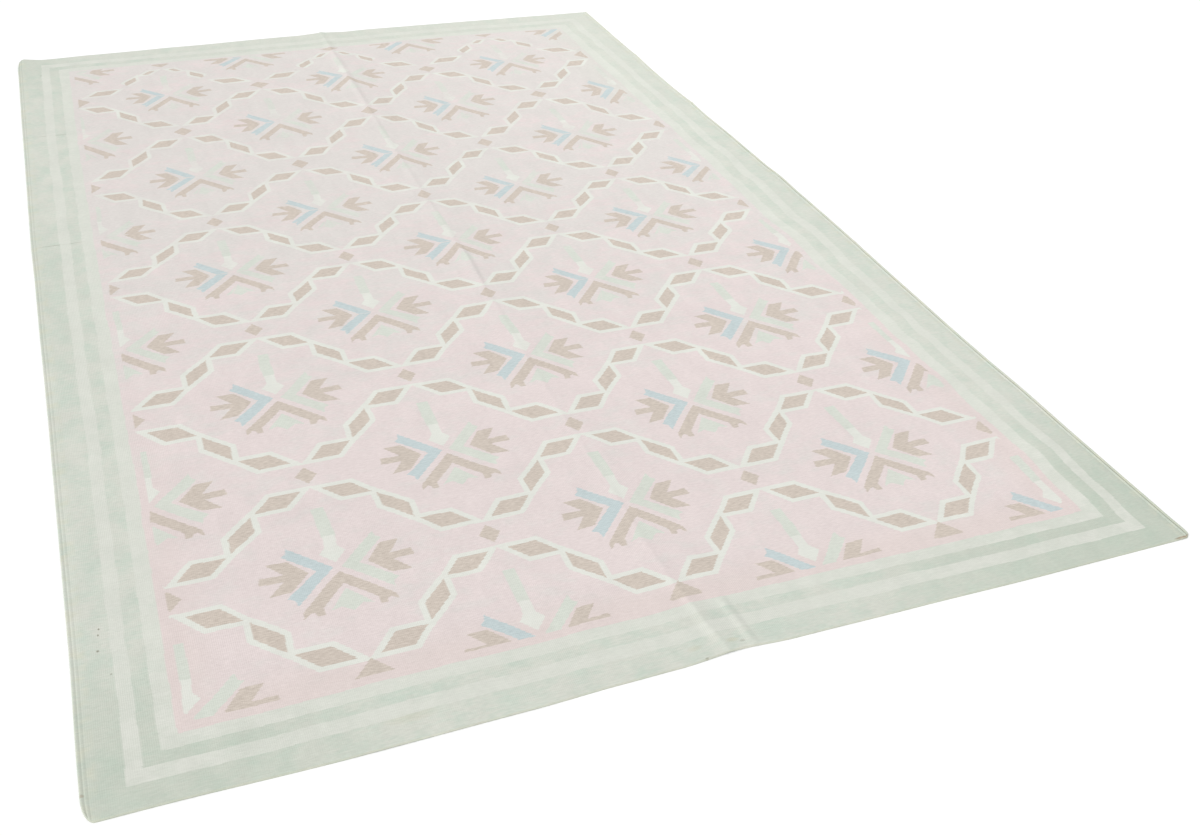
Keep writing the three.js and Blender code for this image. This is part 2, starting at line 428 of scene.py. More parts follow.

# Soft spots of another colour on the border, in millimetres: where it is deeper dyed or dirty, with
# painted shade darkening the corners and along the left cross creases.
SPOTS = table(
    "across along reach yarn share",
    # The deep mint spots darken the corners and the left side: partly deeper dye, partly painted
    # shade.
    (-900, -1450, (420, 300), "deep mint", 0.45),
    (900, -1470, (640, 420), "deep mint", 0.60),
    (-890, 1420, (160, 260), "deep mint", 0.25),
    (-890, 0, (90, 420), "deep mint", 0.15),
    (890, 1150, (220, 650), "sage", 0.5),
    (150, 1480, (900, 200), "sage", 0.5),
    (-868, -1118, (2, 3), "dirt", 0.8),
    (-870, -1131, (2, 3), "dirt", 0.8),
    (-873, -1166, (3, 3), "dirt", 0.8),
    (-857, -1221, (2, 2), "dirt", 0.6),
    (-12, -1486, (4, 2), "dirt", 0.6),
    (41, -1467, (13, 6), "stain", 0.45),
    (56, -1473, (6, 3), "dirt", 0.35),
    (-22, -1460, (14, 7), "stain", 0.3),
    (-852, 1341, (5, 10), "dirt", 0.2),
    (-912, -1440, (4, 4), "rust", 0.5),
    (897, -1485, (20, 2.5), "rust", 0.9),
    (-465, -1442, (46, 14), "stain", 0.25),
    # These two thin dark lines are painted shade along the left cross creases.
    (-850, 205, (66, 3), "dirt", 0.4),
    (-825, 862, (80, 4), "dirt", 0.2),
)

# Where the dye fades or the cloth wears: the place where that starts, the place where it is
# full, and its least and greatest share. Places are millimetres, and rows for the last three.
ZONES = by_name(table(
    "name start full least most",
    ("faded far end", -880, 220, 0.1, 1),
    ("rose near end", -360, -1260, 0, 1),
    ("rose by the border", -70, 0, 0, 0.8),
    ("greyed far end", 600, 900, 0, 0.45),
    ("greyed right side", 657, 747, 0, 1),
    ("worn far end", -540, 660, 0.15, 1),
    ("yellowed by the selvedge", 26, 16, 0, 1),
    # This zone sets where along the right side the groove is darkened with dirt and painted shade.
    ("dirty length of the groove", 760, 360, 0, 1),
    ("drawn in motifs", 3, 6, 0, 1),
    ("worn outlines", 3.6, 6.9, 0, 1),
    ("broader crossings", 6, 8.7, 0, 1),
))

# Smooth noises over the flat cloth: the size of their lumps across and along the rug, their
# seed and detail, and how they are stretched: the gain times the noise, plus the offset.
# Streaks are as long as their weft, so their size along the rug counts wefts.
NOISES = by_name(table(
    "name size seed detail gain offset",
    ("sideways edges", (90, 90), 1, 1, 8, -4),
    ("upwards edges", (90, 90), 2, 1, 6, -3),
    ("streaks", (60, 1 / 0.9), 3, 2, 0.13, -0.065),
    ("bands", (90, 4000), 4, 2, 0.06, -0.03),
    ("mottle", (34, 80), 5, 3, 0.12, -0.06),
    ("patches", (45, 55), 6, 4, 3.0, -0.85),
    ("heather", (10, 2.4), 7, 2, 3.2, -1.1),
    ("yellowing", (30, 24), 8, 2, 5, -2.3),
    # The groove's dirt and painted shade come and go by this noise.
    ("dirt", (10, 60), 9, 2, 2.0, -0.1),
    ("fading", (150, 110), 10, 3, 2.6, -1.4),
    ("wear", (70, 50), 12, 3, 3.0, -1.05),
    ("fine patches", (22, 6), 13, 2, 1.6, -0.8),
    ("fine fading", (34, 20), 15, 2, 2.4, -1.2),
    ("greening", (45, 30), 16, 3, 2.4, -1.0),
))

# The most that wear and greening take over, the least of the groove's dirt and painted shade, and
# how much less of the wear the ivory edges and the pale green show than the white.
MOST_WEAR = 0.7
MOST_GREENING = 0.25
LEAST_DIRT_AND_SHADE = 0.4
TOUGHER_SHARE = 0.7

# How far in the outer cord and the rim of a hem reach, and where the groove between the cords
# lies.
OUTER_CORD_REACH = 0.42 * SELVEDGE_WIDTH * MILLIMETRES
HEM_RIM_REACH = 1.8
GROOVE_INSET = 0.5 * SELVEDGE_WIDTH * MILLIMETRES
GROOVE_HALF_WIDTH = 0.8

# Shares of another yarn's colour along the edges.
EDGE_SHARES = {
    "yellowed": 0.6,
    "right outer cord": 0.2,
    "hem rim": 0.25,
    # The groove's shares darken it with dirt and painted shade.
    "groove": 0.06,
    "right groove": 0.75,
}

# ------------------------------------------------------------------ view

FLOOR_HALF = 120.0
FLOOR_GREY = 0.97

WORLD_STRENGTH = 0.679
WINDOW_LIGHT = {"direction": (0.70, 0.28, -0.66), "strength": 1.77, "softness_degrees": 35}
RIGHT_LAMP = {"place": (2.4, 1.3, 2.2), "target": (0.7, 0.8, 0), "size": 2.0, "power": 17}

CAMERA_PLACE = (-0.7397, -2.7519, 1.4381)
CAMERA_TARGET = (0.0666, -0.8277, 0.003)
CAMERA_ROLL_DEGREES = 2.578
CAMERA_LENS = 39.73
SENSOR_WIDTH = 36.0


# ------------------------------------------------------------------ shaping functions


def hump(share):
    """A soft hump: 1 at the middle, 0 at and past a share of 1 from it."""
    return np.cos(np.pi / 2 * np.clip(share, -1, 1)) ** 2


def read_table(rows, place_column, value_column, places):
    """The value column of a table at many places, eased from row to row."""
    at = np.array([row[place_column] for row in rows])
    values = np.array([row[value_column] for row in rows])
    places = np.clip(places, at[0], at[-1])
    low = np.clip(np.searchsorted(at, places, side="right") - 1, 0, len(at) - 2)
    share = (places - at[low]) / (at[low + 1] - at[low])
    return values[low] + (values[low + 1] - values[low]) * share * share * (3 - 2 * share)


def soft_noise(x, y, cell, seed):
    """Smooth noise from 0 to 1 over the plane, its lumps about one cell apart."""
    corners = np.random.default_rng(seed).random((NOISE_CELLS, NOISE_CELLS))
    across, along = x / cell + NOISE_ORIGIN, y / cell + NOISE_ORIGIN
    column, row = np.floor(across).astype(int), np.floor(along).astype(int)
    a, b = across - column, along - row
    a, b = a * a * (3 - 2 * a), b * b * (3 - 2 * b)
    near = corners[row, column] * (1 - a) + corners[row, column + 1] * a
    far = corners[row + 1, column] * (1 - a) + corners[row + 1, column + 1] * a
    return near * (1 - b) + far * b


def thickness_at(u, v):
    """The cloth's thickness at places on the flat rectangle."""
    selvedge = read_table(SELVEDGE_PROFILE, "inset", "thickness", HALF_WIDTH - np.abs(u))
    flatter = (selvedge - CLOTH_THICKNESS) * LEFT_CORD_RELIEF + CLOTH_THICKNESS
    on_left_cord = (u < 0) & (selvedge > GROOVE_THICKNESS)
    selvedge = np.where(on_left_cord, flatter, selvedge)
    hem = read_table(HEM_PROFILE, "inset", "thickness", HALF_LENGTH - np.abs(v))
    return selvedge + hem - CLOTH_THICKNESS


def round_corners(u, v):
    """Rounds the rectangle's corners: each corner's box is mapped to a quarter of an ellipse."""
    x, y = u.copy(), v.copy()
    for corner in CORNERS:
        side, end = corner["side"], corner["end"]
        middle_x, middle_y = HALF_WIDTH - corner["across"], HALF_LENGTH - corner["along"]
        across = (side * u - middle_x) / corner["across"]
        along = (end * v - middle_y) / corner["along"]
        inside = (across > 0) & (along > 0)
        rounded_across = across * np.sqrt(np.clip(1 - along**2 / 2, 0, 1))
        rounded_along = along * np.sqrt(np.clip(1 - across**2 / 2, 0, 1))
        x = np.where(inside, side * (middle_x + corner["across"] * rounded_across), x)
        y = np.where(inside, end * (middle_y + corner["along"] * rounded_along), y)
    return x, y


def outward_shift(sides, x, y):
    """How far a table of the four sides moves them outwards, across and along the rug."""
    left = read_table(sides["left"], "at", "out", y)
    right = read_table(sides["right"], "at", "out", y)
    near = read_table(sides["near"], "at", "out", x)
    far = read_table(sides["far"], "at", "out", x)
    return np.where(x < 0, -left, right), np.where(y < 0, -near, far)


def wander(x, y):
    """Moves places on the rectangle with the uneven edges."""
    across, along = outward_shift(EDGE_WANDER, x, y)
    side_share = (HALF_WIDTH - np.abs(x)) / SIDE_WANDER_REACH
    end_share = (HALF_LENGTH - np.abs(y)) / END_WANDER_REACH
    return x + across * hump(side_share), y + along * hump(end_share)


def crease_height(x, y):
    """Height of the underside over the middle crease and the rise that carries it."""
    offset = x - read_table(MIDDLE_CREASE, "y", "x", y)
    left = read_table(MIDDLE_CREASE, "y", "left", y)
    right = read_table(MIDDLE_CREASE, "y", "right", y)
    slope = 1 - np.clip(np.abs(offset) / np.where(offset < 0, left, right), 0, 1)
    crest = read_table(MIDDLE_CREASE, "y", "crest", y) * slope**CREST_SHARPNESS
    rise = read_table(MIDDLE_CREASE, "y", "rise", y) * hump(offset / RISE_HALF_WIDTH)
    return crest + rise


def lift_height(lift, x, y):
    """Height of the underside over one lift of the table."""
    run_x, run_y = lift["x2"] - lift["x1"], lift["y2"] - lift["y1"]
    length = math.hypot(run_x, run_y)
    along = ((x - lift["x1"]) * run_x + (y - lift["y1"]) * run_y) / length
    across = ((x - lift["x1"]) * run_y - (y - lift["y1"]) * run_x) / length
    past_end = np.maximum(0, np.maximum(-along, along - length))
    return lift["height"] * hump(across / lift["half_width"]) * hump(past_end / lift["fade"])


def curl_height(x, y):
    """Height of the underside at the curled corners."""
    height = np.zeros_like(x)
    for corner in CORNERS:
        distance = np.hypot(x - corner["side"] * HALF_WIDTH, y - corner["end"] * HALF_LENGTH)
        height += corner["curl"] * hump(distance / corner["reach"])
    return height


def ripple(x, y):
    """The right border's small waves, from 0 to 1."""
    waves = soft_noise(x / RIPPLE["stretch"], y, RIPPLE["cell"], RIPPLE["seed"])
    nearness = hump((HALF_WIDTH - x - RIPPLE["inset"]) / RIPPLE["reach"])
    return waves * nearness * np.clip((HALF_LENGTH - np.abs(y)) / RIPPLE["end_fade"], 0, 1)


def underside_height(x, y):
    """Height of the rug's underside above the floor."""
    height = crease_height(x, y) + curl_height(x, y) + RIPPLE["height"] * ripple(x, y)
    for lift in LIFTS:
        height += lift_height(lift, x, y)
    for layer in UNEVENNESS:
        lumps = soft_noise(x, y, layer["cell"], layer["seed"])
        height += layer["height"] * np.clip(lumps - LYING_SHARE, 0, 1)
    return height


# ------------------------------------------------------------------ cloth mesh


def column_places():
    """Places of the mesh's columns across the width, left to right."""
    inner = HALF_WIDTH - SIDE_INSETS[-1]
    count = round(2 * inner / FIELD_STEP)
    field = np.linspace(-inner, inner, count + 1)
    crease = np.arange(*CREASE_COLUMNS, CREASE_STEP)
    left_of_crease = field < CREASE_COLUMNS[0] - CREASE_STEP
    right_of_crease = field > CREASE_COLUMNS[1] + CREASE_STEP
    field = field[left_of_crease | right_of_crease]
    sides = np.array(SIDE_INSETS[:-1])
    return np.sort(np.concatenate([sides - HALF_WIDTH, field, crease, HALF_WIDTH - sides]))


def row_places():
    """Places of the mesh's rows along the length, near to far."""
    inner = HALF_LENGTH - END_INSETS[-1]
    crumple = np.arange(*CRUMPLE_ROWS, CRUMPLE_STEP)
    count = round((inner - CRUMPLE_ROWS[1]) / ROW_STEP)
    field = np.linspace(CRUMPLE_ROWS[1], inner, count + 1)
    ends = np.array(END_INSETS[:-1])
    return np.concatenate([ends - HALF_LENGTH, crumple, field, (HALF_LENGTH - ends)[::-1]])


def edge_drop(u, v):
    """How far the rounded edge takes the cloth's upper face down."""
    inset = np.minimum(HALF_WIDTH - np.abs(u), HALF_LENGTH - np.abs(v))
    share = np.clip(1 - inset / EDGE_ROUNDING, 0, 1)
    return EDGE_ROUNDING * (1 - np.sqrt(1 - share**2))


def chart_number(places, value):
    """The pattern's column or row number, with its fraction, at places in millimetres."""
    numbers = np.arange(len(places))
    first_pitch = places[1] - places[0]
    last_pitch = places[-1] - places[-2]
    inside = np.interp(value, places, numbers)
    before = np.minimum(0, (value - places[0]) / first_pitch)
    after = np.maximum(0, (value - places[-1]) / last_pitch)
    return inside + before + after


def pattern_numbers(u, v):
    """Column and row number of the pattern at places in millimetres, with the weaver's drift."""
    column, row = chart_number(COLUMN_PLACES, u), chart_number(ROW_PLACES, v)
    drifts = {}
    for way in ("sideways", "left", "right"):
        distance = read_table(ROW_DRIFTS, "row", way, row)
        drifts[way] = distance * read_table(COLUMN_SHARES, "column", way, column)
    sideways = drifts["sideways"]
    upwards = drifts["left"] + drifts["right"]
    for motif in MOTIF_DRIFTS:
        nearness = hump(np.hypot(column - motif["column"], row - motif["row"]))
        sideways = sideways + motif["sideways"] * nearness
        upwards = upwards + motif["upwards"] * nearness
    column = chart_number(COLUMN_PLACES, u - sideways)
    row = chart_number(ROW_PLACES, v - upwards)
    return column, row


def frame_places(u, v):
    """Places on the cloth in millimetres, with the wandering of the border's frames taken off."""
    across, along = outward_shift(FRAME_WANDER, u, v)
    across = u - across - RIPPLE["sway"] * ripple(u, v)
    along = v - along
    return across * MILLIMETRES, along * MILLIMETRES


def closed_sheet_faces(columns, rows):
    """Quads of a top, an underside and the rim between them, over two layers of points."""
    index = np.arange(columns * rows).reshape(rows, columns)
    layer = columns * rows
    top = np.stack([index[:-1, :-1], index[:-1, 1:], index[1:, 1:], index[1:, :-1]], axis=-1)
    top = top.reshape(-1, 4)
    under = top[:, ::-1] + layer
    loop = np.concatenate([index[0, :-1], index[:-1, -1], index[-1, :0:-1], index[:0:-1, 0]])
    following = np.roll(loop, -1)
    rim = np.stack([loop, loop + layer, following + layer, following], axis=-1)
    return np.concatenate([top, under, rim])


def link(name, data):
    """A new object of the scene that holds the data."""
    holder = bpy.data.objects.new(name, data)
    bpy.context.scene.collection.objects.link(holder)
    return holder


def add_attribute(mesh, name, across, along):
    """Stores two numbers for each point of both faces, for the shader to read."""
    attribute = mesh.attributes.new(name, "FLOAT_VECTOR", "POINT")
    values = np.stack([across, along, np.zeros_like(across)], axis=-1).astype(np.float32)
    attribute.data.foreach_set("vector", np.concatenate([values, values]).ravel())


def add_bake_map(mesh, u, v):
    """Lays the flat cloth over the whole square of the map that its colours are baked to."""
    share = np.stack([u / WIDTH + 0.5, v / LENGTH + 0.5], axis=-1)
    share = np.concatenate([share, share]).astype(np.float32)
    loops = np.empty(len(mesh.loops), dtype=np.int32)
    mesh.loops.foreach_get("vertex_index", loops)
    bake_map = mesh.uv_layers.new(name="OFBake")
    bake_map.data.foreach_set("uv", share[loops].ravel())


def build_cloth():
    """The rug as one closed sheet, centred on the frame as its CAD node is."""
    u, v = np.meshgrid(column_places(), row_places())
    rows, columns = u.shape
    u, v = u.ravel(), v.ravel()
    x, y = wander(*round_corners(u, v))
    bottom = underside_height(x, y)
    top = bottom + thickness_at(u, v)
    points = np.concatenate([
        np.stack([x, y, top - edge_drop(u, v)], axis=-1),
        np.stack([x, y, bottom], axis=-1),
    ])
    faces = closed_sheet_faces(columns, rows)

    low, high = (np.array(corner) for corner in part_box("rug"))
    shift = (low + high) / 2 - (points.min(axis=0) + points.max(axis=0)) / 2
    shift[2] = low[2] - points[:, 2].min()
    points += shift

    mesh = bpy.data.meshes.new("rug_cloth")
    mesh.from_pydata(points.tolist(), [], faces.tolist())
    mesh.shade_smooth()

    flat_across, flat_along = u * MILLIMETRES, v * MILLIMETRES
    add_attribute(mesh, "flat_mm", flat_across, flat_along)
    add_attribute(mesh, "frame_mm", *frame_places(u, v))
    add_attribute(mesh, "pattern", *pattern_numbers(flat_across, flat_along))
    add_bake_map(mesh, u, v)

    return link("rug_cloth", mesh), shift


# ------------------------------------------------------------------ node arithmetic


class Field:
    """A number that varies over the cloth: an output of a node, with the usual arithmetic."""

    def __init__(self, socket):
        self.socket = socket
        self.tree = socket.id_data

    def math(self, operation, *others):
        """One math node, fed with this field and the others."""
        node = self.tree.nodes.new("ShaderNodeMath")
        node.operation = operation
        for slot, value in zip(node.inputs, (self, *others)):
            connect(self.tree, value, slot)
        return Field(node.outputs[0])

    def __add__(self, other):
        return self.math("ADD", other)

    def __sub__(self, other):
        return self.math("SUBTRACT", other)

    def __mul__(self, other):
        return self.math("MULTIPLY", other)

    def __truediv__(self, other):
        return self.math("DIVIDE", other)

    def __abs__(self):
        return self.math("ABSOLUTE")

    def scaled(self, factor, offset):
        """The factor times this field, plus the offset."""
        return self.math("MULTIPLY_ADD", factor, offset)

    def ramp(self, start, end):
        """0 at the start and 1 at the end, in a straight line that goes on past both."""
        return self.scaled(1 / (end - start), -start / (end - start))

    def limited(self, low, high):
        return self.lower_of(high).higher_of(low)

    def floor(self):
        return self.math("FLOOR")

    def fraction(self):
        return self.math("FRACT")

    def parity(self):
        """0 for an even number and 1 for an odd one."""
        return self.math("FLOORED_MODULO", 2)

    def lower_of(self, other):
        return self.math("MINIMUM", other)

    def higher_of(self, other):
        return self.math("MAXIMUM", other)

    def below(self, limit):
        """1 below the limit, and 0 elsewhere."""
        return self.math("LESS_THAN", limit)

    def above(self, limit):
        """1 above the limit, and 0 elsewhere."""
        return self.math("GREATER_THAN", limit)


def connect(tree, value, slot):
    """Feeds a node's input with a field or a plain number."""
    if isinstance(value, Field):
        tree.links.new(value.socket, slot)
    else:
        slot.default_value = value


def swap(choice, first, second):
    """The second field where the choice is 1, and the first where it is 0."""
    return first + choice * (second - first)


def pick(choice, first, second):
    """The sizes of the second table where the choice is 1, and of the first where it is 0."""
    return {name: choice * (second[name] - first[name]) + first[name] for name in first}


def convex(across, along, corners):
    """Depth of a convex shape: below 0 inside it, and the distance to its sides outside."""
    sides = list(zip(corners, corners[1:] + corners[:1]))
    turn = math.copysign(1, sum(x1 * y2 - x2 * y1 for (x1, y1), (x2, y2) in sides))
    depth = None
    for (x1, y1), (x2, y2) in sides:
        on_mirror_line = x1 == 0 and x2 == 0
        if on_mirror_line:
            continue
        length = math.hypot(x2 - x1, y2 - y1)
        out_x, out_y = turn * (y2 - y1) / length, -turn * (x2 - x1) / length
        side = across.scaled(out_x, -(x1 * out_x + y1 * out_y))
        side = along.scaled(out_y, side)
        depth = side if depth is None else depth.higher_of(side)
    return depth


def linear(colour):
    """A colour out of 255 as the renderer's linear colour."""
    channels = [((part / 255 + 0.055) / 1.055) ** 2.4 for part in colour]
    return (*channels, 1.0)


def mix(tree, share, under, over):
    """One colour over another, by a share from 0 to 1. Colours are sockets or plain values."""
    node = tree.nodes.new("ShaderNodeMix")
    node.data_type = "RGBA"
    share_slot, under_slot, over_slot = node.inputs[0], node.inputs[6], node.inputs[7]
    connect(tree, share, share_slot)
    for colour, slot in ((under, under_slot), (over, over_slot)):
        if isinstance(colour, tuple):
            slot.default_value = colour
        else:
            tree.links.new(colour, slot)
    mixed_slot = node.outputs[2]
    return mixed_slot


def read_vector(tree, attribute):
    """The first two parts of a point attribute, as fields."""
    node = tree.nodes.new("ShaderNodeAttribute")
    node.attribute_name = attribute
    parts = tree.nodes.new("ShaderNodeSeparateXYZ")
    tree.links.new(node.outputs["Vector"], parts.inputs[0])
    return Field(parts.outputs[0]), Field(parts.outputs[1])


def noise(name, across, along):
    """One of the table's noises, over two fields."""
    sizes = NOISES[name]
    tree = across.tree
    place = tree.nodes.new("ShaderNodeCombineXYZ")
    connect(tree, across / sizes["size"][0], place.inputs[0])
    connect(tree, along / sizes["size"][1], place.inputs[1])
    place.inputs[2].default_value = sizes["seed"]
    node = tree.nodes.new("ShaderNodeTexNoise")
    node.inputs["Scale"].default_value = 1.0
    node.inputs["Detail"].default_value = sizes["detail"]
    tree.links.new(place.outputs[0], node.inputs["Vector"])
    return Field(node.outputs["Fac"]).scaled(sizes["gain"], sizes["offset"])


def zone(name, place):
    """Share of one of the table's zones at a place across, along or into the pattern."""
    limits = ZONES[name]
    return place.ramp(limits["start"], limits["full"]).limited(limits["least"], limits["most"])


# ------------------------------------------------------------------ woven pattern

# Where a point is: on the flat cloth, in the border's frames and in the chart of the pattern.
Places = namedtuple("Places", "flat_across flat_along across along column row")


def yarn_shift(flat_across, flat_along):
    """How far it is sideways and upwards to the spot that gives a point its colour.

    The colour changes only from one yarn to the next, because wefts turn back on neighbouring
    warps in turn, and the weaver's edges wander a little.
    """
    weft = (flat_along / WEFT_PITCH).floor()
    turn = weft.parity() * 0.5
    warp = (flat_across / WARP_PITCH + turn).floor() - turn
    sideways = warp.scaled(WARP_PITCH, WARP_PITCH / 2) - flat_across
    upwards = weft.scaled(WEFT_PITCH, WEFT_PITCH / 2) - flat_along
    return (
        sideways + noise("sideways edges", flat_across, flat_along),
        upwards + noise("upwards edges", flat_across, flat_along),
    )


def read_places(tree):
    """The places that the mesh carries, with those of the pattern moved to their yarn."""
    flat_across, flat_along = read_vector(tree, "flat_mm")
    frame_across, frame_along = read_vector(tree, "frame_mm")
    column, row = read_vector(tree, "pattern")
    sideways, upwards = yarn_shift(flat_across, flat_along)
    return Places(
        flat_across=flat_across,
        flat_along=flat_along,
        across=frame_across + sideways,
        along=frame_along + upwards,
        column=column + sideways / COLUMN_PITCH,
        row=row + upwards / ROW_PITCH,
    )


def spin_yarns(tree, at):
    """Each yarn's colour, from its darker to its lighter tone by the heather's share."""
    heather = noise("heather", at.flat_across, at.flat_along).limited(0, 1)
    spun = {}
    for name, yarn in YARNS.items():
        dark = linear(part - yarn["heather"] for part in yarn["colour"])
        light = linear(part + yarn["heather"] for part in yarn["colour"])
        spun[name] = mix(tree, heather, dark, light)
    return spun


def frame_depth(at, frame):
    """Depth inside one nested frame of the border: below 0 inside it."""
    near = at.along.scaled(-1, -frame["near"])
    far = at.along.scaled(1, -frame["far"])
    return abs(at.across).scaled(1, -frame["side"]).higher_of(near.higher_of(far))


def paint_ground(tree, yarns, at):
    """The pink between the motifs: faded, rosy by the near border and grey at the far right."""
    fading = zone("faded far end", at.flat_along)
    fading = fading + noise("fading", at.flat_across, at.flat_along)
    fading = fading + noise("fine fading", at.flat_across, at.flat_along)
    ground = mix(tree, fading.limited(0, 1), yarns["pink"], yarns["faded pink"])
    near_end = zone("rose near end", at.flat_along)
    by_border = zone("rose by the border", frame_depth(at, FIELD_FRAME))
    ground = mix(tree, near_end * by_border, ground, yarns["rose"])
    far_end = zone("greyed far end", at.flat_along)
    right_side = zone("greyed right side", at.flat_across)
    return mix(tree, far_end * right_side, ground, yarns["sage"])


def wear_yarns(tree, yarns, ground, at):
    """The motifs' yarns, with the pale ones worn down to the ground in places."""
    wear = noise("wear", at.flat_across, at.flat_along) * zone("worn far end", at.flat_along)
    wear = wear.limited(0, MOST_WEAR)
    return {
        **yarns,
        "outline": mix(tree, wear * TOUGHER_SHARE, yarns["white"], ground),
        "white": mix(tree, wear, yarns["white"], ground),
        "pale green": mix(tree, wear * TOUGHER_SHARE, yarns["pale green"], ground),
    }


def worn_inset(row):
    """How far the worn motifs of the far rows draw in: below 0 there, and 0 near."""
    return zone("drawn in motifs", row) * -WORN_INSET


def lozenge(slanting, cutting, sizes, lean):
    """Depth of a lozenge about 0: two sides are cut straight, the others lean along the cut way."""
    slanted = (abs(slanting - cutting * lean) - sizes["to_slant"]) / math.hypot(1, lean)
    return slanted.higher_of(abs(cutting) - sizes["to_cut"])


def quarter_lozenges(across, along, lower_half, last_row):
    """Depth of the two lozenges of a quarter of the lattice."""
    last_level = pick(lower_half, SHORT_LOZENGE, LONG_LOZENGE)
    last_upright = pick(lower_half, LAST_UPRIGHT_LOZENGE, NO_LOZENGE)
    level = pick(last_row, LEVEL_LOZENGE, last_level)
    upright = pick(last_row, UPRIGHT_LOZENGE, last_upright)
    level_across, level_along = across - level["across"], along - level["along"]
    upright_across, upright_along = across - upright["across"], along - upright["along"]
    level_depth = lozenge(level_across, level_along, level, LEVEL_LEAN)
    upright_depth = lozenge(upright_along, upright_across, upright, UPRIGHT_LEAN)
    return level_depth.lower_of(upright_depth)


def inside_crossing(across, along, column, row):
    """1 inside the diamond of a crossing, which stands one row past the flower's centre."""
    off_middle = abs(column - MIDDLE_COLUMN)
    middle_or_outermost = off_middle.below(0.5).higher_of(off_middle.above(2.5))
    large_far = row.above(LARGE_FROM_ROW) * middle_or_outermost
    sizes = pick(row.below(LARGE_BEFORE_ROW).higher_of(large_far), CROSSING, LARGE_CROSSING)
    half_width = zone("broader crossings", row) * BROADER_BY + sizes["half_width"]
    sideways = abs(across) / half_width
    upwards = abs(along - ROW_PITCH) / sizes["half_height"]
    return (sideways + upwards).below(1)


def paint_lattice(tree, colour, yarns, column, row):
    """Ivory-edged beige lozenges from crossing to crossing, and the crossings' diamonds."""
    row = row - LATTICE_OFFSET / ROW_PITCH
    odd = (column.floor() + row.floor()).parity()
    across, along = column.fraction(), row.fraction()
    across = swap(odd, across, across.scaled(-1, 1))
    lower_half = (along - across).below(0)
    across = swap(lower_half, across, across.scaled(-1, 1)) * COLUMN_PITCH
    along = swap(lower_half, along, along.scaled(-1, 1)) * ROW_PITCH
    lozenges = quarter_lozenges(across, along, lower_half, row.above(LAST_LOZENGES_FROM_ROW))

    outline = zone("worn outlines", row).scaled(WORN_OUTLINE - OUTLINE, OUTLINE)
    colour = mix(tree, lozenges.below(outline), colour, yarns["outline"])
    colour = mix(tree, lozenges.below(worn_inset(row)), colour, yarns["beige"])
    crossing = inside_crossing(across, along, column, row)
    return mix(tree, crossing, colour, yarns["beige"])


def paint_flowers(tree, colour, yarns, column, row):
    """The flower that stands where column and row number add up to an even number."""
    half_sum = ((column + row) * 0.5).math("ROUND")
    half_difference = ((column - row) * 0.5).math("ROUND")
    sideways = (column - (half_sum + half_difference)) * COLUMN_PITCH
    along = (row - (half_sum - half_difference)) * ROW_PITCH
    across = abs(sideways)
    yarns = {**yarns, "arm": mix(tree, sideways.below(0), yarns["pale green"], yarns["blue"])}
    by_yarn = {}
    for piece in FLOWER:
        depth = convex(across, along, piece["corners"])
        yarn = piece["yarn"]
        by_yarn[yarn] = depth if yarn not in by_yarn else by_yarn[yarn].lower_of(depth)
    for yarn, depth in by_yarn.items():
        colour = mix(tree, depth.below(worn_inset(row)), colour, yarns[yarn])
    return colour


def paint_spots(tree, colour, yarns, at):
    """Soft round spots, each in its yarn's colour."""
    for spot in SPOTS:
        across, along = spot["across"], spot["along"]
        reach_across, reach_along = spot["reach"]
        sideways = at.flat_across.ramp(across, across + reach_across)
        upwards = at.flat_along.ramp(along, along + reach_along)
        nearness = (sideways * sideways + upwards * upwards).scaled(-1, 1).higher_of(0)
        colour = mix(tree, nearness * spot["share"], colour, yarns[spot["yarn"]])
    return colour


def paint_edges(tree, colour, yarns, at):
    """Yellowed cloth by the selvedge, tanned rims, and dirt with painted shade darkening the groove
    between the cords.
    """
    inset = abs(at.flat_across).scaled(-1, HALF_WIDTH * MILLIMETRES)
    right_side = at.flat_across.above(0)

    yellowing = noise("yellowing", at.flat_across, at.flat_along).limited(0, 1)
    yellowing = yellowing.lower_of(zone("yellowed by the selvedge", inset))
    colour = mix(tree, yellowing * EDGE_SHARES["yellowed"], colour, yarns["cream"])

    outer_cord = inset.below(OUTER_CORD_REACH) * right_side * EDGE_SHARES["right outer cord"]
    end_inset = abs(at.flat_along).scaled(-1, HALF_LENGTH * MILLIMETRES)
    hem_rim = end_inset.below(HEM_RIM_REACH) * EDGE_SHARES["hem rim"]
    colour = mix(tree, outer_cord.higher_of(hem_rim), colour, yarns["stain"])

    # Dirt and painted shade darken the groove between the cords, most on the right.
    groove = abs(inset - GROOVE_INSET).below(GROOVE_HALF_WIDTH)
    dirt = noise("dirt", at.flat_across, at.flat_along).limited(LEAST_DIRT_AND_SHADE, 1)
    right_groove = right_side * zone("dirty length of the groove", at.flat_along)
    share = right_groove.scaled(EDGE_SHARES["right groove"], EDGE_SHARES["groove"])
    return mix(tree, groove * dirt * share, colour, yarns["dirt"])


def paint_border(tree, yarns, ground, at):
    """The sage border, with its ivory and sage stripes and the pink one round the field."""
    patches = noise("patches", at.flat_across, at.flat_along)
    patches = patches + noise("fine patches", at.flat_across, at.flat_along)
    sage = mix(tree, patches.limited(0, 1), yarns["mint"], yarns["sage"])
    sage = paint_spots(tree, sage, yarns, at)
    greening = noise("greening", at.flat_across, at.flat_along).limited(0, MOST_GREENING)
    ivory = mix(tree, greening, yarns["ivory"], sage)
    stripes = {"ivory": ivory, "sage": sage, "pink": ground}
    colour = paint_edges(tree, sage, yarns, at)
    for frame in FRAMES:
        colour = mix(tree, frame_depth(at, frame).below(0), colour, stripes[frame["yarn"]])
    return colour


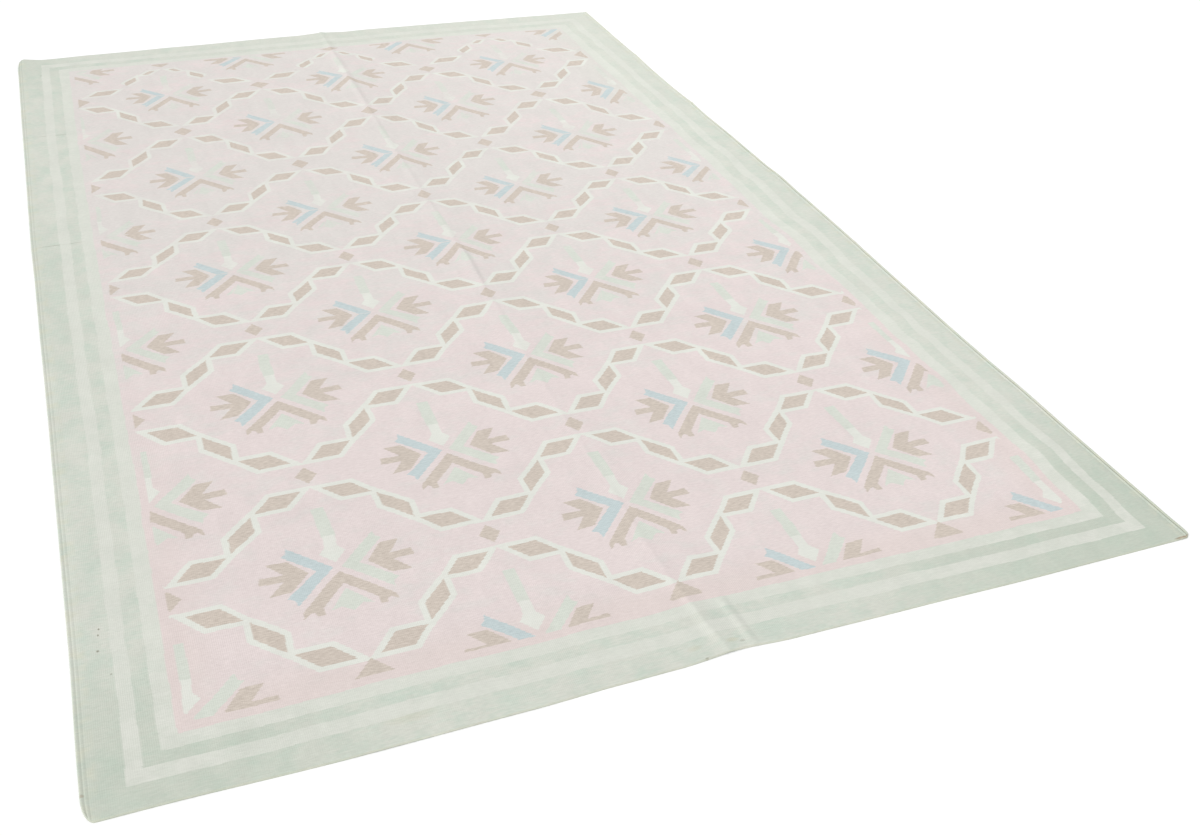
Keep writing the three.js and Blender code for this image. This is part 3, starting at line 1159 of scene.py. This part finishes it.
def cloth_tone(at):
    """How much lighter or darker the cloth is than its yarns, from place to place: about 1."""
    weft = (at.flat_along / WEFT_PITCH).floor()
    streaks = noise("streaks", at.flat_across, weft)
    bands = noise("bands", at.flat_along, at.flat_along)
    mottle = noise("mottle", at.flat_across, at.flat_along)
    return streaks + bands + mottle + 1


def weave_height(at):
    """Height of the weft-faced plain weave: ribs over the warps, wefts crossing them in turn."""
    warp = at.flat_across / WARP_PITCH
    weft_pair = at.flat_along / (2 * WEFT_PITCH) + warp.floor().parity() * 0.5
    rib = abs(warp.fraction().scaled(2, -1))
    float_edge = abs(weft_pair.fraction().scaled(2, -1))
    return (rib * rib + float_edge * float_edge).scaled(-0.5, 1)


def woven_cotton():
    """The rug's material: the whole pattern, worked out from where a point is on the flat cloth."""
    material = bpy.data.materials.new("woven_cotton")
    material.use_nodes = True
    tree = material.node_tree
    shader = tree.nodes["Principled BSDF"]

    at = read_places(tree)
    yarns = spin_yarns(tree, at)
    ground = paint_ground(tree, yarns, at)
    worn = wear_yarns(tree, yarns, ground, at)
    field = paint_lattice(tree, ground, worn, at.column, at.row)
    field = paint_flowers(tree, field, worn, at.column, at.row)
    border = paint_border(tree, yarns, ground, at)
    colour = mix(tree, frame_depth(at, FIELD_FRAME).below(0), border, field)

    shade = tree.nodes.new("ShaderNodeVectorMath")
    shade.operation = "SCALE"
    tree.links.new(colour, shade.inputs[0])
    connect(tree, cloth_tone(at), shade.inputs["Scale"])
    tree.links.new(shade.outputs[0], shader.inputs["Base Color"])

    bump = tree.nodes.new("ShaderNodeBump")
    bump.inputs["Strength"].default_value = 0.4
    bump.inputs["Distance"].default_value = 0.0006
    connect(tree, weave_height(at), bump.inputs["Height"])
    tree.links.new(bump.outputs["Normal"], shader.inputs["Normal"])

    shader.inputs["Roughness"].default_value = 0.92
    shader.inputs["Specular IOR Level"].default_value = 0.25
    shader.inputs["Sheen Weight"].default_value = 0.05
    shader.inputs["Sheen Roughness"].default_value = 0.6
    return material


# ------------------------------------------------------------------ floor, light and camera


def facing(direction):
    """The turn that makes a light or a camera face a direction."""
    return Vector(direction).to_track_quat("-Z", "Y")


def build_floor():
    """A plain pale floor, wide enough to fill every view."""
    mesh = bpy.data.meshes.new("floor")
    corners = [(-1, -1), (1, -1), (1, 1), (-1, 1)]
    mesh.from_pydata([(x * FLOOR_HALF, y * FLOOR_HALF, 0) for x, y in corners], [], [(0, 1, 2, 3)])
    material = bpy.data.materials.new("floor_paint")
    material.use_nodes = True
    shader = material.node_tree.nodes["Principled BSDF"]
    shader.inputs["Base Color"].default_value = (FLOOR_GREY, FLOOR_GREY, FLOOR_GREY, 1)
    shader.inputs["Roughness"].default_value = 0.9
    shader.inputs["Specular IOR Level"].default_value = 0.0
    mesh.materials.append(material)
    floor = link("floor", mesh)


def light_studio():
    """Even light from all round, soft light from the front left and a lamp at the far right."""
    world = bpy.data.worlds.new("studio")
    world.use_nodes = True
    background = world.node_tree.nodes["Background"]
    background.inputs["Color"].default_value = (1, 1, 1, 1)
    background.inputs["Strength"].default_value = WORLD_STRENGTH
    bpy.context.scene.world = world

    window = bpy.data.lights.new("window_light", "SUN")
    window.energy = WINDOW_LIGHT["strength"]
    window.angle = math.radians(WINDOW_LIGHT["softness_degrees"])
    holder = link("window_light", window)
    holder.rotation_euler = facing(WINDOW_LIGHT["direction"]).to_euler()

    lamp = bpy.data.lights.new("right_lamp", "AREA")
    lamp.size = RIGHT_LAMP["size"]
    lamp.energy = RIGHT_LAMP["power"]
    place, target = Vector(RIGHT_LAMP["place"]), Vector(RIGHT_LAMP["target"])
    holder = link("right_lamp", lamp)
    holder.location = place
    holder.rotation_euler = facing(target - place).to_euler()


def place_camera(shift):
    """The camera, moved with the rug."""
    camera = bpy.data.cameras.new("camera")
    camera.sensor_fit = "HORIZONTAL"
    camera.sensor_width = SENSOR_WIDTH
    camera.lens = CAMERA_LENS
    place, target = Vector(CAMERA_PLACE), Vector(CAMERA_TARGET)
    aim = facing(target - place).to_matrix().to_4x4()
    roll = Matrix.Rotation(math.radians(CAMERA_ROLL_DEGREES), 4, "Z")
    holder = link("camera", camera)
    holder.matrix_world = Matrix.Translation(place + Vector((*shift[:2], 0))) @ aim @ roll
    bpy.context.scene.camera = holder


# ------------------------------------------------------------------ the scene

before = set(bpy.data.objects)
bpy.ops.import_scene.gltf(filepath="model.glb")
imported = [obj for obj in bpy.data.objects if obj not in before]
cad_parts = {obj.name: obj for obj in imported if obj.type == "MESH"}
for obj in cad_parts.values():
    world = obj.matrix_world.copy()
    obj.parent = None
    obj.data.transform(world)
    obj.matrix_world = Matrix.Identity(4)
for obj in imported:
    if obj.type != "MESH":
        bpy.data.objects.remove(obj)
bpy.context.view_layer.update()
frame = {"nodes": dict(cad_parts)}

cloth, shift = build_cloth()
cloth.data.materials.append(woven_cotton())
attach(cloth, "root")
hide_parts("rug")

build_floor()
light_studio()
place_camera(shift)
bpy.context.scene.view_settings.view_transform = "Standard"
